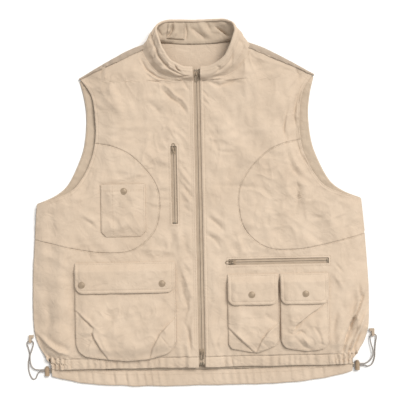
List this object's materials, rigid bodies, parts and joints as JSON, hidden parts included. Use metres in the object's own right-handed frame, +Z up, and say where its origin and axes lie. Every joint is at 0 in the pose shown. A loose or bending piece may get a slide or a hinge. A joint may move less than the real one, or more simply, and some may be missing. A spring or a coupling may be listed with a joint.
{
  "type": "fishing vest",
  "caption": "Loose zip-front fishing vest laid flat on its back, with a stand collar, snap-flap and zipped pockets and a drawcord hem.",
  "frame": {"origin": "on the resting surface under the front zip, level with the middle of the vest's length", "axes": "+X towards the wearer's left side, +Y towards the collar, +Z up out of the front"},
  "size_m": [0.7075, 0.7351, 0.0461],
  "materials": {
    "shell_cloth": "dry, fine plain weave, light beige",
    "lining_cloth": "dry, plain weave, a shade deeper",
    "zip_tape": "knitted polyester tape, taupe",
    "zip_coil": "nylon coil, taupe",
    "painted_metal": "satin paint, taupe",
    "bare_metal": "satin plated, taupe grey",
    "lock_plastic": "satin moulded plastic",
    "spring_steel": "drawn wire",
    "shock_cord": "braided cover, grey beige"
  },
  "bodies": {
    "vest": {"back_panel": "lining_cloth", "back_yoke": "shell_cloth", "back_hem_casing": "shell_cloth", "left_armhole_facing": "lining_cloth", "right_armhole_facing": "lining_cloth", "left_front_panel": "shell_cloth", "right_front_panel": "shell_cloth", "left_armhole_inset": "shell_cloth", "right_armhole_inset": "shell_cloth", "left_hem_casing": "shell_cloth", "right_hem_casing": "shell_cloth", "collar_outer": "shell_cloth", "collar_lining": "lining_cloth", "chest_zip_tape": "zip_tape", "chest_zip_coil": "zip_coil", "waist_zip_tape": "zip_tape", "waist_zip_coil": "zip_coil", "left_zip_tape": "zip_tape", "left_zip_coil": "zip_coil", "right_zip_tape": "zip_tape", "right_zip_coil": "zip_coil", "chest_zip_bag": "lining_cloth", "waist_zip_bag": "lining_cloth", "cargo_pocket": "shell_cloth", "cargo_snap_1_stud": "bare_metal", "cargo_snap_2_stud": "bare_metal", "inner_pocket": "shell_cloth", "inner_snap_stud": "bare_metal", "outer_pocket": "shell_cloth", "outer_snap_stud": "bare_metal", "chest_pocket": "shell_cloth", "chest_snap_cap": "painted_metal", "chest_snap_stud": "bare_metal", "left_cord_eyelet": "bare_metal", "right_cord_eyelet": "bare_metal", "left_side_tab": "zip_tape", "right_side_tab": "zip_tape", "left_drawcord": "shock_cord", "right_drawcord": "shock_cord"},
    "top_slider": {"top_slider": "painted_metal"},
    "top_pull": {"top_slider_pull": "bare_metal"},
    "bottom_slider": {"bottom_slider": "painted_metal"},
    "bottom_pull": {"bottom_slider_pull": "bare_metal"},
    "chest_slider": {"chest_zip_slider": "painted_metal"},
    "chest_pull": {"chest_zip_pull": "bare_metal"},
    "waist_slider": {"waist_zip_slider": "painted_metal"},
    "waist_pull": {"waist_zip_pull": "bare_metal"},
    "cargo_flap": {"cargo_flap": "shell_cloth", "cargo_snap_1_cap": "painted_metal", "cargo_snap_2_cap": "painted_metal"},
    "inner_flap": {"inner_flap": "shell_cloth", "inner_snap_cap": "painted_metal"},
    "outer_flap": {"outer_flap": "shell_cloth", "outer_snap_cap": "painted_metal"},
    "left_lock": {"left_lock_barrel": "lock_plastic", "left_lock_spring": "spring_steel"},
    "left_plunger": {"left_lock_plunger": "lock_plastic"},
    "right_lock": {"right_lock_barrel": "lock_plastic", "right_lock_spring": "spring_steel"},
    "right_plunger": {"right_lock_plunger": "lock_plastic"}
  },
  "joints": [
    {"name": "top_slider_travel", "type": "slide", "parent": "vest", "child": "top_slider", "axis": [0, -1, 0], "range_m": [0, 0.32]},
    {"name": "top_pull_swing", "type": "hinge", "parent": "top_slider", "child": "top_pull", "pos_m": [0, 0.256, 0.0231], "axis": [-1, 0, 0], "range_deg": [0, 160]},
    {"name": "bottom_slider_travel", "type": "slide", "parent": "vest", "child": "bottom_slider", "axis": [0, 1, 0], "range_m": [0, 0.19]},
    {"name": "bottom_pull_swing", "type": "hinge", "parent": "bottom_slider", "child": "bottom_pull", "pos_m": [0, -0.3, 0.0231], "axis": [-1, 0, 0], "range_deg": [0, 160]},
    {"name": "chest_slider_travel", "type": "slide", "parent": "vest", "child": "chest_slider", "axis": [0, -1, 0], "range_m": [0, 0.136]},
    {"name": "chest_pull_swing", "type": "hinge", "parent": "chest_slider", "child": "chest_pull", "pos_m": [-0.049, 0.1035, 0.0231], "axis": [1, 0, 0], "range_deg": [0, 160]},
    {"name": "waist_slider_travel", "type": "slide", "parent": "vest", "child": "waist_slider", "axis": [1, 0, 0], "range_m": [0, 0.181]},
    {"name": "waist_pull_swing", "type": "hinge", "parent": "waist_slider", "child": "waist_pull", "pos_m": [0.0655, -0.122, 0.0231], "axis": [0, 1, 0], "range_deg": [0, 160]},
    {"name": "cargo_flap_lift", "type": "hinge", "parent": "vest", "child": "cargo_flap", "pos_m": [-0.151, -0.118, 0.0231], "axis": [-1, 0, 0], "range_deg": [0, 120]},
    {"name": "inner_flap_lift", "type": "hinge", "parent": "vest", "child": "inner_flap", "pos_m": [0.104, -0.1465, 0.0231], "axis": [-1, 0, 0], "range_deg": [0, 120]},
    {"name": "outer_flap_lift", "type": "hinge", "parent": "vest", "child": "outer_flap", "pos_m": [0.207, -0.1465, 0.0231], "axis": [-1, 0, 0], "range_deg": [0, 120]},
    {"name": "left_lock_travel", "type": "slide", "parent": "vest", "child": "left_lock", "axis": [1, 0, 0], "range_m": [0, 0.007]},
    {"name": "left_plunger_press", "type": "slide", "parent": "left_lock", "child": "left_plunger", "axis": [0, -1, 0], "range_m": [0, 0.003], "stiffness_N_per_m": 400, "springref_m": -0.002, "deforming": ["left_lock_spring"]},
    {"name": "right_lock_travel", "type": "slide", "parent": "vest", "child": "right_lock", "axis": [-1, 0, 0], "range_m": [0, 0.007]},
    {"name": "right_plunger_press", "type": "slide", "parent": "right_lock", "child": "right_plunger", "axis": [0, -1, 0], "range_m": [0, 0.003], "stiffness_N_per_m": 400, "springref_m": -0.002, "deforming": ["right_lock_spring"]}
  ]
}
